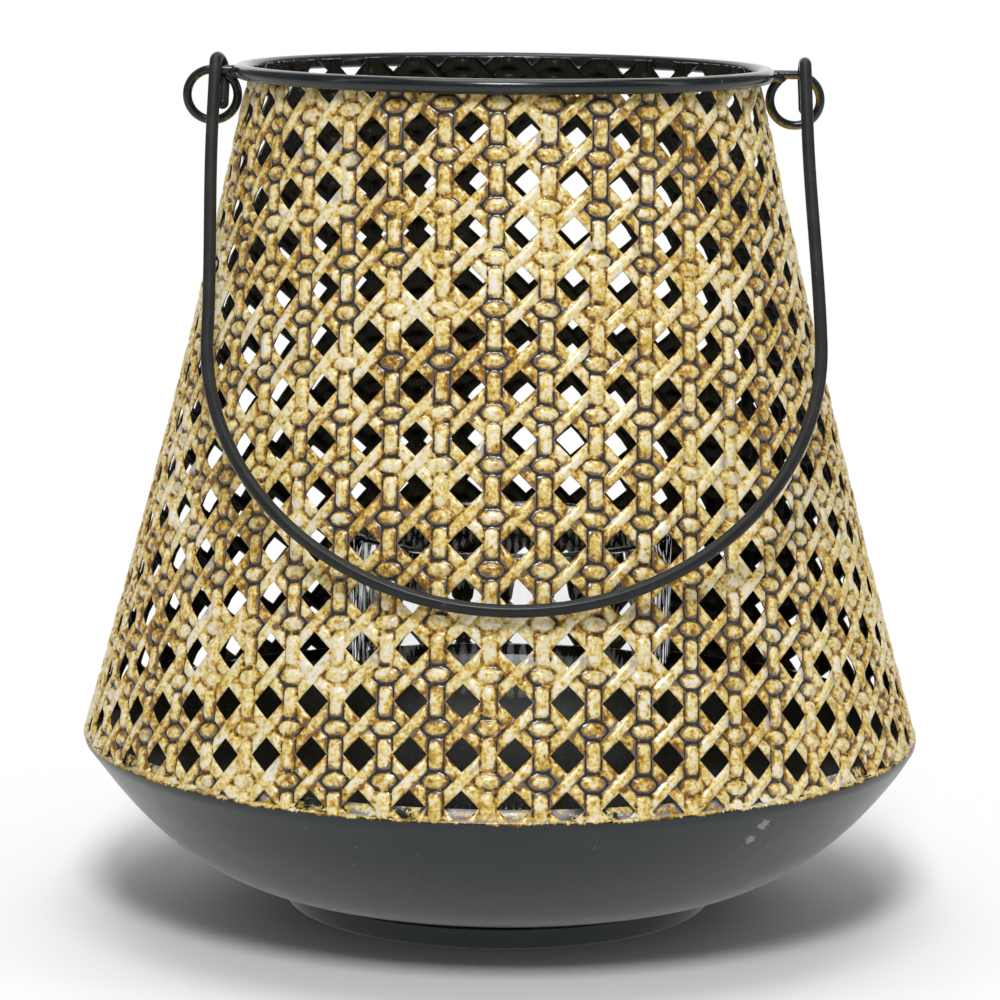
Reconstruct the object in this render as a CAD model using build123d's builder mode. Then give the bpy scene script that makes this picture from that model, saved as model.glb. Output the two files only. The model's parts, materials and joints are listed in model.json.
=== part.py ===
from build123d import *

import os
from math import acos, asin, atan2, cos, degrees, hypot, pi, sin, tan

# Punched tin lantern. Millimetres, +Z up, the origin at the middle of the foot's underside, and the
# bail hanging down the front, which is the -Y side.

# Foot and bowl
foot_diameter = 106.0
foot_height = 5.5
foot_wall = 1.6
bowl_wall = 1.2
bowl_bulge = 7.1
shoulder_drop = 1.5
shoulder_radius = 8.0
lip_overlap = 3.8
lip_gap = 0.12

# Shade, a cone rolled from two punched half sheets
shade_bottom = 43.0
shade_bottom_diameter = 205.6
sheet_thickness = 1.2
sheet_stand = 0.8
seam_gap = 0.2

# Punched diamonds, laid out on the flat sheet before it is rolled
column_pitch = 12.06
row_pitch = 11.82
hole_diagonal = 7.9
diamond_turn = 45
column_shift = 3.9
first_row = 9.5
hole_margin = 0.6

# Rim wire round the outside of the shade's top edge
rim_height = 204.2
rim_diameter = 126.4
rim_wire = 3.6
rim_gap = 0.05

# Wire eyelets welded to the rim
eyelet_wire = 2.2
eyelet_diameter = 14.4
eyelet_turn = 295
eyelet_gap = 0.4
weld_diameter = 3.4

# Bail handle, hooked over the eyelets
bail_wire = 3.0
bail_drop = 147.7
hook_clearance = 0.2
hook_length = 9.2
bail_gap = 0.3
tip_chamfer = 0.4

# Glass cup standing loose on the bowl's floor
cup_diameter = 79.6
cup_height = 86.0
cup_wall = 2.4
cup_base = 4.0
cup_shift = 2.1
cup_rim_round = 0.9
cup_foot_round = 1.5

# The cone's outer line runs up from the lower edge and passes just inside the rim wire
shade_bottom_radius = shade_bottom_diameter / 2
rim_radius = rim_diameter / 2
rim_over = shade_bottom_radius - rim_radius
rim_rise = rim_height - shade_bottom
rim_seat = rim_wire / 2 + rim_gap
half_angle = atan2(rim_over, rim_rise) + asin(rim_seat / hypot(rim_over, rim_rise))
taper = tan(half_angle)
apex_height = shade_bottom + shade_bottom_radius / taper
shade_top = rim_height + sheet_stand
sheet_across = sheet_thickness / cos(half_angle)


def shade_radius(height):
    """Outer radius of the shade at a height."""
    return (apex_height - height) * taper


def slant(height):
    """Distance of a height from the cone's apex, along the cone."""
    return (apex_height - height) / cos(half_angle)


# The bowl's lip lies against the inside of the shade's lower edge
lip_inset = sheet_across + lip_gap / cos(half_angle)
lip_top = shade_bottom + lip_overlap * cos(half_angle)
shoulder_height = shade_bottom - shoulder_drop
floor_radius = (foot_diameter - foot_wall) / 2
floor_top = foot_height + bowl_wall

# The eyelets' loops clear the shade, and their top wire is level with the rim wire
eyelet_radius = (eyelet_diameter - eyelet_wire) / 2
eyelet_height = rim_height - eyelet_radius
eyelet_x = shade_radius(eyelet_height) + eyelet_gap + eyelet_diameter / 2

# The bail turns about the eyelets' top wires and leans on the front of the shade
hook_radius = eyelet_wire / 2 + hook_clearance + bail_wire / 2
bail_reach = hypot(bail_drop, hook_radius)
lean_distance = shade_radius(rim_height) * cos(half_angle) + bail_wire / 2 + bail_gap
lean_angle = pi / 2 + half_angle - acos(lean_distance / bail_reach) - atan2(hook_radius, bail_drop)
leg_length = bail_drop - eyelet_x
pivot = Vector(0, 0, rim_height)
bail_down = Vector(0, -sin(lean_angle), -cos(lean_angle))
bail_out = Vector(0, -cos(lean_angle), sin(lean_angle))


def bail_point(across, along, out):
    """Point of the bail, measured across it, down it from the pivot and out from the pivot's plane."""
    return pivot + Vector(across, 0, 0) + bail_down * along + bail_out * out


def hole_corners(across, down):
    """The four corners of a punched diamond on the flat half sheet, whose apex is the zero point."""
    reach = hole_diagonal / 2
    return [(across + reach, down), (across - reach, down), (across, down + reach), (across, down - reach)]


def on_sheet(across, down):
    """True where a flat point lies inside the half sheet, clear of its edges and seams."""
    from_apex = hypot(across, down)
    to_seam = from_apex * sin(pi / 2 * sin(half_angle) - abs(atan2(across, down)))
    inside_ends = slant(shade_top) + hole_margin <= from_apex <= slant(shade_bottom) - hole_margin
    return inside_ends and to_seam >= hole_margin + seam_gap / 2


def hole_plane(across, down):
    """Plane on the rolled shade at a flat point, facing outwards, with X along the row of holes."""
    from_apex = hypot(across, down)
    turn = atan2(across, down)
    around = turn / sin(half_angle)
    radius = from_apex * sin(half_angle)
    spot = Vector(radius * sin(around), -radius * cos(around), apex_height - from_apex * cos(half_angle))
    tangent = Vector(cos(around), sin(around), 0)
    downhill = Vector(taper * sin(around), -taper * cos(around), -1).normalized()
    facing = Vector(sin(around), -cos(around), taper)
    return Plane(origin=spot, x_dir=tangent * cos(turn) + downhill * sin(turn), z_dir=facing)


# Rows and columns of the diamonds that fit on a half sheet
hole_side = hole_diagonal * cos(pi / 4)
widest_across = slant(shade_bottom) * sin(pi / 2 * sin(half_angle))
column_reach = int(widest_across / column_pitch) + 1
row_count = int((slant(shade_bottom) - slant(shade_top)) / row_pitch) + 2
columns = [column_shift + column_pitch * i for i in range(-column_reach, column_reach + 1)]
nearest_row = slant(rim_height) * cos(pi / 2 * sin(half_angle))
row_start = slant(rim_height) + first_row
rows_above = int((row_start - nearest_row) / row_pitch) + 1
rows = [row_start + row_pitch * i for i in range(-rows_above, row_count)]
diamonds = [(u, v) for u in columns for v in rows if all(on_sheet(*c) for c in hole_corners(u, v))]

os.makedirs("parts", exist_ok=True)

# Foot: a rolled hoop under the bowl
with BuildPart() as foot_ring:
    with BuildSketch():
        Circle(foot_diameter / 2)
        Circle(foot_diameter / 2 - foot_wall, mode=Mode.SUBTRACT)
    extrude(amount=foot_height)

# Bowl: one pressed sheet with a flat floor, a bulging side and a lip that tucks inside the shade
with BuildPart() as base_bowl:
    with BuildSketch(Plane.XZ):
        with BuildLine() as bowl_line:
            floor_line = Line((0, foot_height), (floor_radius, foot_height))
            shoulder = (shade_radius(shoulder_height) - lip_inset, shoulder_height)
            side_line = SagittaArc(floor_line @ 1, shoulder, -bowl_bulge)
            lip_line = Line(side_line @ 1, (shade_radius(lip_top) - lip_inset, lip_top))
            fillet(bowl_line.vertices().sort_by_distance(lip_line @ 0)[0], shoulder_radius)
            offset(amount=bowl_wall, side=Side.LEFT)
        make_face()
    revolve(axis=Axis.Z)

# Shade: each half sheet is a half cone pierced by the diamonds
with BuildPart() as shade_front:
    with BuildSketch(Plane.XZ):
        with BuildLine():
            outer_top = (shade_radius(shade_top), shade_top)
            outer_bottom = (shade_bottom_radius, shade_bottom)
            inner_bottom = (shade_bottom_radius - sheet_across, shade_bottom)
            inner_top = (shade_radius(shade_top) - sheet_across, shade_top)
            Polyline(outer_top, outer_bottom, inner_bottom, inner_top, close=True)
        make_face()
    revolve(axis=Axis.Z)
    split(bisect_by=Plane.XZ.offset(seam_gap / 2), keep=Keep.TOP)
    with Locations(*[hole_plane(u, v).location for u, v in diamonds]):
        Box(hole_side, hole_side, 4 * sheet_thickness, rotation=(0, 0, diamond_turn), mode=Mode.SUBTRACT)

with BuildPart() as shade_back:
    add(shade_front.part, rotation=(0, 0, 180))

# Rim: a wire ring round the shade's top edge
with BuildPart() as rim_ring:
    with Locations((0, 0, rim_height)):
        Torus(rim_radius, rim_wire / 2)

# Eyelets: one wire each, a short tail welded to the rim and bent round into a loop
with BuildPart() as right_eyelet:
    with BuildLine(Plane.XZ) as eyelet_line:
        tail = Line((rim_radius, rim_height), (eyelet_x, rim_height))
        CenterArc((eyelet_x, eyelet_height), eyelet_radius, 90, -eyelet_turn)
    with BuildSketch(Plane(origin=tail @ 0, z_dir=tail % 0)):
        Circle(eyelet_wire / 2)
    sweep(path=eyelet_line.wire())
    with Locations((rim_radius + rim_wire / 2, 0, rim_height)):
        Sphere(weld_diameter / 2)
    add(rim_ring.part, mode=Mode.SUBTRACT)

with BuildPart() as left_eyelet:
    mirror(right_eyelet.part, about=Plane.YZ)

# Bail: one wire, hooked over both eyelets and bent into a round-bottomed U
with BuildPart() as bail_handle:
    with BuildLine() as bail_line:
        tip = Line(bail_point(eyelet_x, hook_length, -hook_radius), bail_point(eyelet_x, 0, -hook_radius))
        hook_top = bail_point(eyelet_x, -hook_radius, 0)
        hook = ThreePointArc(tip @ 1, hook_top, bail_point(eyelet_x, 0, hook_radius))
        leg = Line(hook @ 1, bail_point(eyelet_x, leg_length, hook_radius))
        TangentArc(leg @ 1, bail_point(0, bail_drop, hook_radius), tangent=leg % 1)
        mirror(about=Plane.YZ)
    bail_path = bail_line.wire()
    with BuildSketch(Plane(origin=bail_path @ 0, z_dir=bail_path % 0)):
        Circle(bail_wire / 2)
    sweep(path=bail_path)
    tips = bail_handle.faces().filter_by(GeomType.PLANE)
    chamfer(tips.edges(), tip_chamfer)

# Glass cup: a straight tumbler with a thick base
with BuildPart() as glass_cup:
    with BuildSketch(Plane.XY.offset(floor_top)):
        with Locations((cup_shift, 0)):
            Circle(cup_diameter / 2)
    extrude(amount=cup_height)
    with BuildSketch(Plane.XY.offset(floor_top + cup_base)):
        with Locations((cup_shift, 0)):
            Circle(cup_diameter / 2 - cup_wall)
    extrude(amount=cup_height - cup_base, mode=Mode.SUBTRACT)
    fillet(glass_cup.faces().sort_by(Axis.Z)[-1].edges(), cup_rim_round)
    fillet(glass_cup.faces().sort_by(Axis.Z)[0].edges(), cup_foot_round)

pieces = {
    "foot_ring": foot_ring,
    "base_bowl": base_bowl,
    "shade_front": shade_front,
    "shade_back": shade_back,
    "rim_ring": rim_ring,
    "left_eyelet": left_eyelet,
    "right_eyelet": right_eyelet,
    "bail_handle": bail_handle,
    "glass_cup": glass_cup,
}
for name, piece in pieces.items():
    piece.part.label = name
    export_step(piece.part, f"parts/{name}.step")

print(f"diamonds per half sheet {len(diamonds)}, bail leans {degrees(lean_angle):.2f} degrees")
print(f"bail turns {360 - 2 * degrees(lean_angle) - 2 * degrees(atan2(hook_radius, bail_drop)):.2f} degrees")
print(f"eyelet at x {eyelet_x:.3f}, pivot height {rim_height:.3f}, floor top {floor_top:.3f}")
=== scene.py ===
"""Dresses the punched tin lantern.

A shade of two half sheets pressed and punched like woven cane stands on a dark enamelled bowl. A rim wire
with two welded eyelets closes its top, a wire bail hangs from the eyelets and a glass cup stands inside.
"""

import json
import logging
import math
from dataclasses import dataclass, field
from enum import Enum
from functools import partial
from typing import Sequence

import bmesh
import bpy
from mathutils import Matrix, Vector, noise
from mathutils.geometry import delaunay_2d_cdt


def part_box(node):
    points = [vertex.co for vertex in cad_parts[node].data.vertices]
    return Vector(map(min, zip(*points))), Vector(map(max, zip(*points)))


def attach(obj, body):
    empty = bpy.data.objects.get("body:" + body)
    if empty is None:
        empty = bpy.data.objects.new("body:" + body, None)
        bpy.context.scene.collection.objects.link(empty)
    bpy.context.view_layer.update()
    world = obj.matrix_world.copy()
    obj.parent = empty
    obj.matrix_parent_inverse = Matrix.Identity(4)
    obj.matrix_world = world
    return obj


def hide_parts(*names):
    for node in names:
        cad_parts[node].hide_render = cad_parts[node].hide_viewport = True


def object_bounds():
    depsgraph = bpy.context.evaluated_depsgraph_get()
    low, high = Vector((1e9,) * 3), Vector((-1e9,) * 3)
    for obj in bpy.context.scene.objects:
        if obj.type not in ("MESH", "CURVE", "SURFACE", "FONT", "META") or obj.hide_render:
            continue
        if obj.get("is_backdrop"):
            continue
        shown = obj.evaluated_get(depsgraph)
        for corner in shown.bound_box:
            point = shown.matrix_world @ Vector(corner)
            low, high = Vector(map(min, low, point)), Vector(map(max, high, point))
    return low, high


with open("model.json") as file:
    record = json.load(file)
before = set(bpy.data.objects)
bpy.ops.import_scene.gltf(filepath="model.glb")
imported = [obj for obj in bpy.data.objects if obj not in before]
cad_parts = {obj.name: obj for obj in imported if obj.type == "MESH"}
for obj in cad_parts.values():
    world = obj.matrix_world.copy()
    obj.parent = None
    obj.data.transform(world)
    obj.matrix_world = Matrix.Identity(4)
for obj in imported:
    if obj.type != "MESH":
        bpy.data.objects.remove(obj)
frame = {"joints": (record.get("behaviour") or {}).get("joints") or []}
CAD_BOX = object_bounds()

MM = 0.001
DOME_ANGLES = (20, 42, 65)
LOG = logging.getLogger("lantern")

Colour = tuple[float, float, float]
Flat = tuple[float, float]
Spot = tuple[float, float, float]
Inputs = dict[str | int, object]
Mesh = bpy.types.Mesh
Node = bpy.types.Node
Socket = bpy.types.NodeSocket
Work = bmesh.types.BMesh


@dataclass(frozen=True)
class Grain:
    """A noise: the size of its grains, the finer layers on top of them and how much those weigh."""

    size: float
    detail: float = 2.0
    rough: float = 0.5


class NodeDesk:
    """Short calls for adding, feeding and linking the nodes of one tree."""

    def __init__(self, tree: bpy.types.NodeTree) -> None:
        """Keeps the tree that the calls work on."""
        self.tree = tree

    def feed(self, node: Node, inputs: Inputs) -> None:
        """Feeds the inputs of a node.

        Args:
            node: the node to feed.
            inputs: a socket to link or a plain value, by the input's name or number.
        """
        for key, value in inputs.items():
            socket = node.inputs[key]
            if isinstance(value, Socket):
                self.tree.links.new(value, socket)
            else:
                socket.default_value = (*value, 1.0) if socket.type == "RGBA" else value

    def add(self, kind: str, inputs: Inputs | None = None, **settings: object) -> Node:
        """Adds a node.

        Args:
            kind: the node's type name.
            inputs: what feeds its inputs.
            **settings: properties of the node itself.

        Returns:
            The new node.
        """
        node = self.tree.nodes.new(kind)
        for key, value in settings.items():
            setattr(node, key, value)
        self.feed(node, inputs or {})
        return node

    def math(self, operation: str, *values: object) -> Socket:
        """Returns the result of a Math node."""
        return self.add("ShaderNodeMath", dict(enumerate(values)), operation=operation).outputs[0]

    def plus(self, first: object, second: object) -> Socket:
        """Returns a sum."""
        return self.math("ADD", first, second)

    def minus(self, first: object, second: object) -> Socket:
        """Returns a difference."""
        return self.math("SUBTRACT", first, second)

    def times(self, first: object, second: object) -> Socket:
        """Returns a product."""
        return self.math("MULTIPLY", first, second)

    def over(self, first: object, second: object) -> Socket:
        """Returns a quotient."""
        return self.math("DIVIDE", first, second)

    def more(self, base: object, value: object, weight: object) -> Socket:
        """Returns a base with a weighted value added to it."""
        return self.math("MULTIPLY_ADD", value, weight, base)

    def rest(self, share: object) -> Socket:
        """Returns what a share leaves of 1."""
        return self.minus(1.0, share)

    def vector(self, operation: str, *values: object, result: str = "Vector") -> Socket:
        """Returns a result of a Vector Math node."""
        node = self.add("ShaderNodeVectorMath", dict(enumerate(values)), operation=operation)
        return node.outputs[result]

    def scaled(self, vector: Socket, factor: object) -> Socket:
        """Returns a vector times a number."""
        node = self.add("ShaderNodeVectorMath", {"Vector": vector, "Scale": factor}, operation="SCALE")
        return node.outputs["Vector"]

    def distance(self, first: object, second: object) -> Socket:
        """Returns how far two points lie from each other."""
        return self.vector("DISTANCE", first, second, result="Value")

    def xyz(self, x: object = 0.0, y: object = 0.0, z: object = 0.0) -> Socket:
        """Returns the vector of three numbers."""
        return self.add("ShaderNodeCombineXYZ", {"X": x, "Y": y, "Z": z}).outputs["Vector"]

    def split(self, vector: object) -> list[Socket]:
        """Returns the three numbers of a vector."""
        return list(self.add("ShaderNodeSeparateXYZ", {"Vector": vector}).outputs)

    def place(self) -> Socket:
        """Returns the object's own coordinates."""
        return self.add("ShaderNodeTexCoord").outputs["Object"]

    def attribute(self, name: str) -> Socket:
        """Returns a number that the mesh stores."""
        return self.add("ShaderNodeAttribute", attribute_name=name).outputs["Fac"]

    def step(self, value: object, edges: Flat) -> Socket:
        """Returns 0 before the first edge, 1 past the second one and a soft step between them."""
        reach = {"Value": value, "From Min": edges[0], "From Max": edges[1]}
        return self.add("ShaderNodeMapRange", reach, interpolation_type="SMOOTHSTEP").outputs["Result"]

    def span(self, value: object, low: float, high: float) -> Socket:
        """Returns low where the value is 0 and high where it is 1."""
        node = self.add("ShaderNodeMapRange", {"Value": value, "To Min": low, "To Max": high})
        return node.outputs["Result"]

    def noise(self, place: object, grain: Grain) -> Socket:
        """Returns a noise between 0 and 1."""
        look = {"Scale": 1.0 / grain.size, "Detail": grain.detail, "Roughness": grain.rough}
        return self.add("ShaderNodeTexNoise", {"Vector": place, **look}).outputs["Fac"]

    def swing(self, place: object, grain: Grain) -> Socket:
        """Returns a noise that swings about 0."""
        return self.minus(self.noise(place, grain), 0.5)

    def mix(self, share: object, low: object, high: object) -> Socket:
        """Returns a colour between two others."""
        # A Mix node repeats its names for each kind of value, so its colour sockets go by number
        return self.add("ShaderNodeMix", {0: share, 6: low, 7: high}, data_type="RGBA").outputs[2]

    def ramp(self, value: object, stops: Sequence[tuple[float, Colour]]) -> Socket:
        """Reads a colour ramp.

        Args:
            value: where on the ramp to read.
            stops: places on the ramp with their colours.

        Returns:
            The colour there.
        """
        node = self.add("ShaderNodeValToRGB", {"Fac": value})
        band = node.color_ramp
        while len(band.elements) < len(stops):
            band.elements.new(1.0)
        for element, (place, colour) in zip(band.elements, stops):
            element.position = place
            element.color = (*colour, 1.0)
        return node.outputs["Color"]

    def bump(self, height: object, strength: float, distance: float) -> Socket:
        """Returns a normal roughened by a height."""
        node = self.add("ShaderNodeBump", {"Height": height, "Strength": strength, "Distance": distance})
        return node.outputs["Normal"]


class Finish:
    """A finish that makes its material once and lends it to every piece that wears it."""

    name: str

    def dress(self, desk: NodeDesk, shader: Node) -> None:
        """Sets the shader of a new material."""
        raise NotImplementedError

    def material(self) -> bpy.types.Material:
        """Makes the finish's material, or finds it.

        Returns:
            The material.
        """
        known = bpy.data.materials.get(self.name)
        if known:
            return known
        made = bpy.data.materials.new(self.name)
        made.use_nodes = True
        self.dress(NodeDesk(made.node_tree), made.node_tree.nodes["Principled BSDF"])
        return made


@dataclass(frozen=True)
class SpongedTints:
    """The cream, gold and brown dabs of the sponged paint, on the shade and on the bowl's lip."""

    brown: Colour = (0.20, 0.088, 0.012)
    umber: Colour = (0.46, 0.240, 0.026)
    gold: Colour = (0.62, 0.395, 0.055)
    cream: Colour = (0.76, 0.600, 0.195)
    ivory: Colour = (0.86, 0.745, 0.41)
    # Painted highlight: the lilac white at the top of the ramp stands in for the lamps' sheen on the
    # crowns.
    painted_highlight_lilac: Colour = (0.89, 0.82, 0.72)
    tones: tuple[float, ...] = (0.0, 0.16, 0.34, 0.54, 0.75, 0.95)
    even_tone: float = 0.67
    speck: Grain = Grain(0.9 * MM, 3.0, 0.6)
    speck_weight: float = 1.8
    dab: Grain = Grain(2.4 * MM, 3.0, 0.6)
    dab_weight: float = 1.5
    patch: Grain = Grain(19.0 * MM, 2.0, 0.55)
    patch_weight: float = 1.1
    wear_and_shade_weight: float = -0.72

    def colour(self, desk: NodeDesk, place: object, worn: object) -> Socket:
        """Lays the dabs.

        Args:
            desk: the tree to work on.
            place: the coordinates that the dabs follow.
            worn: how far the paint has thinned towards its brown edge, from 0 to 1; on the cane it also
                carries painted shade down the strands' flanks.

        Returns:
            The paint's colour.
        """
        tone = desk.more(self.even_tone, desk.swing(place, self.speck), self.speck_weight)
        tone = desk.more(tone, desk.swing(place, self.dab), self.dab_weight)
        tone = desk.more(tone, desk.swing(place, self.patch), self.patch_weight)
        # Browner where worn: thinner paint, and on the cane also painted shade on the strands' flanks.
        tone = desk.more(tone, worn, self.wear_and_shade_weight)
        colours = (self.brown, self.umber, self.gold, self.cream, self.ivory, self.painted_highlight_lilac)
        return desk.ramp(tone, list(zip(self.tones, colours)))


@dataclass(frozen=True)
class SpongedCane(Finish):
    """Sponged cream paint on the raised strands, over the dark glossy enamel left in the grooves."""

    name: str = "sponged_cane"
    tints: SpongedTints = SpongedTints()
    ground: Colour = (0.027, 0.024, 0.016)
    # Light silver of painted reflections, on the missed strand ends and along the grooves.
    painted_sheen_silver: Colour = (0.42, 0.40, 0.40)
    hem: Flat = (43.3 * MM, 44.4 * MM)
    bare_top: Flat = (203.3 * MM, 204.0 * MM)
    top_loss: float = 3.0
    smear: Grain = Grain(2.0 * MM, 3.0, 0.6)
    smear_weight: float = 1.6
    flood: Grain = Grain(24.0 * MM, 2.0, 0.6)
    flooded: Flat = (0.47, 0.62)
    flood_weight: float = 0.36
    painted: Flat = (0.12, 0.25)
    cover_weight: float = 1.5
    lift_weight: float = -0.5
    thick: Flat = (0.1, 1.08)
    missed_and_sheen: Grain = Grain(26.0 * MM, 1.0)
    missed_smear: float = 0.5
    bare_sheen_edges: Flat = (0.72, 0.96)
    flank: Flat = (0.02, 0.10)
    painted_gleam: float = 0.4
    ground_roughness: float = 0.22
    paint_roughness: float = 0.25
    smear_roughness: float = 0.1
    ground_coat: float = 0.45
    paint_coat: float = 0.3
    coat_roughness: float = 0.14
    tooth: Grain = Grain(0.9 * MM, 2.0, 0.6)
    tooth_strength: float = 0.55
    tooth_depth: float = 0.08 * MM

    def cover(self, desk: NodeDesk, place: Socket, lift: Socket, smear: Socket) -> Socket:
        """Finds how much paint the sponge leaves.

        Args:
            desk: the tree to work on.
            place: the object's coordinates.
            lift: how high the strands stand.
            smear: the noise of the sponge's smears.

        Returns:
            The cover, which is more on high strands, in flooded patches and along the hem.
        """
        flood = desk.step(desk.noise(place, self.flood), self.flooded)
        cover = desk.more(lift, desk.minus(smear, 0.5), self.smear_weight)
        cover = desk.more(cover, flood, self.flood_weight)
        height = desk.split(place)[2]
        cover = desk.plus(cover, desk.rest(desk.step(height, self.hem)))
        return desk.minus(cover, desk.times(desk.step(height, self.bare_top), self.top_loss))

    def dress(self, desk: NodeDesk, shader: Node) -> None:
        """Paints by the strands' height, with smears into the grooves, painted shade and highlight by
        height and painted reflections.

        Args:
            desk: the tree to work on.
            shader: the material's shader.
        """
        place = desk.place()
        lift = desk.attribute("lift")
        smear = desk.noise(place, self.smear)
        cover = self.cover(desk, place, lift, smear)
        painted = desk.step(cover, self.painted)
        # Paint goes browner down the flanks and paler on the crowns: partly thinner paint, partly painted
        # shade and painted highlight by height.
        laid = desk.more(desk.times(cover, self.cover_weight), lift, self.lift_weight)
        paint = self.tints.colour(desk, place, desk.rest(desk.step(laid, self.thick)))
        # Where the sponge missed the right ends of ovals and strands, light silver is painted in: a
        # painted reflection on the enamel.
        missed_and_sheen = desk.more(desk.noise(place, self.missed_and_sheen), smear, self.missed_smear)
        missed_and_sheen = desk.times(desk.step(missed_and_sheen, self.bare_sheen_edges), desk.attribute("lee"))
        paint = desk.mix(missed_and_sheen, paint, self.painted_sheen_silver)
        # Thin light lines at the feet of the strands, in the grooves: a painted highlight.
        painted_gleam = desk.times(desk.step(lift, self.flank), desk.rest(painted))
        ground = desk.mix(desk.times(painted_gleam, self.painted_gleam), self.ground, self.painted_sheen_silver)
        rough = desk.span(painted, self.ground_roughness, self.paint_roughness)
        tooth = desk.plus(smear, desk.noise(place, self.tooth))
        desk.feed(shader, {
            "Base Color": desk.mix(painted, ground, paint),
            "Roughness": desk.more(rough, smear, self.smear_roughness),
            "Coat Weight": desk.span(painted, self.ground_coat, self.paint_coat),
            "Coat Roughness": self.coat_roughness,
            "Normal": desk.bump(tooth, self.tooth_strength, self.tooth_depth),
        })


@dataclass(frozen=True)
class SatinEnamel(Finish):
    """Dark satin enamel, faintly mottled, on wire and sheet."""

    name: str = "satin_enamel"
    shade: Colour = (0.0085, 0.0112, 0.0112)
    dust: Colour = (0.014, 0.0175, 0.0175)
    roughness: float = 0.30
    sheen: Colour = (0.93, 1.0, 1.0)
    shine: float = 0.5
    mottle: Grain = Grain(7.0 * MM, 4.0, 0.6)
    dusted: Flat = (0.35, 0.75)
    mottle_roughness: float = 0.16
    fleck: Colour = (0.07, 0.075, 0.075)
    flecks: Grain = Grain(1.5 * MM, 0.0)
    flecked: Flat = (0.84, 0.87)
    peel: Grain = Grain(0.9 * MM)
    peel_strength: float = 0.25
    peel_depth: float = 0.03 * MM

    def enamel(self, desk: NodeDesk, shader: Node) -> tuple[Socket, Socket]:
        """Sets all of the enamel but its colour.

        Args:
            desk: the tree to work on.
            shader: the material's shader.

        Returns:
            The object's coordinates and the enamel's colour.
        """
        place = desk.place()
        mottle = desk.noise(place, self.mottle)
        colour = desk.mix(desk.step(mottle, self.dusted), self.shade, self.dust)
        colour = desk.mix(desk.step(desk.noise(place, self.flecks), self.flecked), colour, self.fleck)
        smoothest = self.roughness - self.mottle_roughness / 2
        desk.feed(shader, {
            "Roughness": desk.more(smoothest, mottle, self.mottle_roughness),
            "Specular Tint": self.sheen,
            "Specular IOR Level": self.shine,
            "Normal": desk.bump(desk.noise(place, self.peel), self.peel_strength, self.peel_depth),
        })
        return place, colour

    def dress(self, desk: NodeDesk, shader: Node) -> None:
        """Sets the plain enamel."""
        _, colour = self.enamel(desk, shader)
        desk.feed(shader, {"Base Color": colour})


@dataclass(frozen=True)
class FringedEnamel(SatinEnamel):
    """The bowl's enamel, with the shade's sponged paint ending over its lip in a ragged fringe."""

    name: str = "fringed_enamel"
    tints: SpongedTints = SpongedTints()
    fringe_height: float = 42.75 * MM
    strokes: Spot = (1.0, 1.0, 0.2)
    wave: Grain = Grain(14.0 * MM, 1.0)
    wave_reach: float = 1.0 * MM
    tuft: Grain = Grain(2.2 * MM, 1.0)
    tuft_reach: float = 1.2 * MM
    hair: Grain = Grain(0.4 * MM, 1.0)
    hair_reach: float = 1.2 * MM
    painted: Flat = (-0.15 * MM, 0.25 * MM)
    thick: Flat = (0.0, 1.2 * MM)
    worn: Flat = (0.55, 0.15)
    lip_height: float = 43.2 * MM
    # Light grey of a painted reflection on the glossy lip.
    lip_painted_sheen: Colour = (0.30, 0.29, 0.32)
    lip_sheen_patches: Grain = Grain(14.0 * MM, 2.0, 0.6)
    lip_sheen_edges: Flat = (0.44, 0.56)
    gaps: Grain = Grain(2.2 * MM, 3.0, 0.7)
    gap_edge: Flat = (0.44, 0.54)
    chips: tuple[Vector, ...] = (Vector((60.9, -80.0, 37.6)) * MM, Vector((57.6, -79.0, 33.1)) * MM)
    chip_tin: Colour = (0.22, 0.22, 0.23)
    chip_size: float = 1.7 * MM
    chip_edge: Flat = (0.95, 0.7)
    jag: Grain = Grain(1.7 * MM, 2.0, 0.7)
    jag_weight: float = 3.0

    def chipped(self, desk: NodeDesk, place: Socket, colour: Socket) -> Socket:
        """Chips the enamel.

        Args:
            desk: the tree to work on.
            place: the object's coordinates.
            colour: the enamel's colour.

        Returns:
            The colour with bare tin in the chips.
        """
        jag = desk.swing(place, self.jag)
        for chip in self.chips:
            away = desk.more(desk.over(desk.distance(place, chip), self.chip_size), jag, self.jag_weight)
            colour = desk.mix(desk.step(away, self.chip_edge), colour, self.chip_tin)
        return colour

    def dress(self, desk: NodeDesk, shader: Node) -> None:
        """Paints the lip above the fringe.

        Args:
            desk: the tree to work on.
            shader: the material's shader.
        """
        place, colour = self.enamel(desk, shader)
        height = desk.split(place)[2]
        strokes = desk.vector("MULTIPLY", place, self.strokes)
        edge = desk.more(self.fringe_height, desk.swing(strokes, self.wave), self.wave_reach)
        edge = desk.more(edge, desk.swing(strokes, self.tuft), self.tuft_reach)
        edge = desk.more(edge, desk.swing(strokes, self.hair), self.hair_reach)
        above = desk.minus(height, edge)
        lip = desk.math("GREATER_THAN", height, self.lip_height)
        gaps = desk.times(desk.step(desk.noise(place, self.gaps), self.gap_edge), lip)
        painted = desk.times(desk.step(above, self.painted), desk.rest(gaps))
        # Light grey patches on the lip behind the lowest holes: a painted reflection on the glossy enamel.
        lip_sheen = desk.times(desk.step(desk.noise(place, self.lip_sheen_patches), self.lip_sheen_edges), lip)
        colour = self.chipped(desk, place, desk.mix(lip_sheen, colour, self.lip_painted_sheen))
        paint = self.tints.colour(desk, place, desk.span(desk.step(above, self.thick), *self.worn))
        desk.feed(shader, {"Base Color": desk.mix(painted, colour, paint)})


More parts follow.
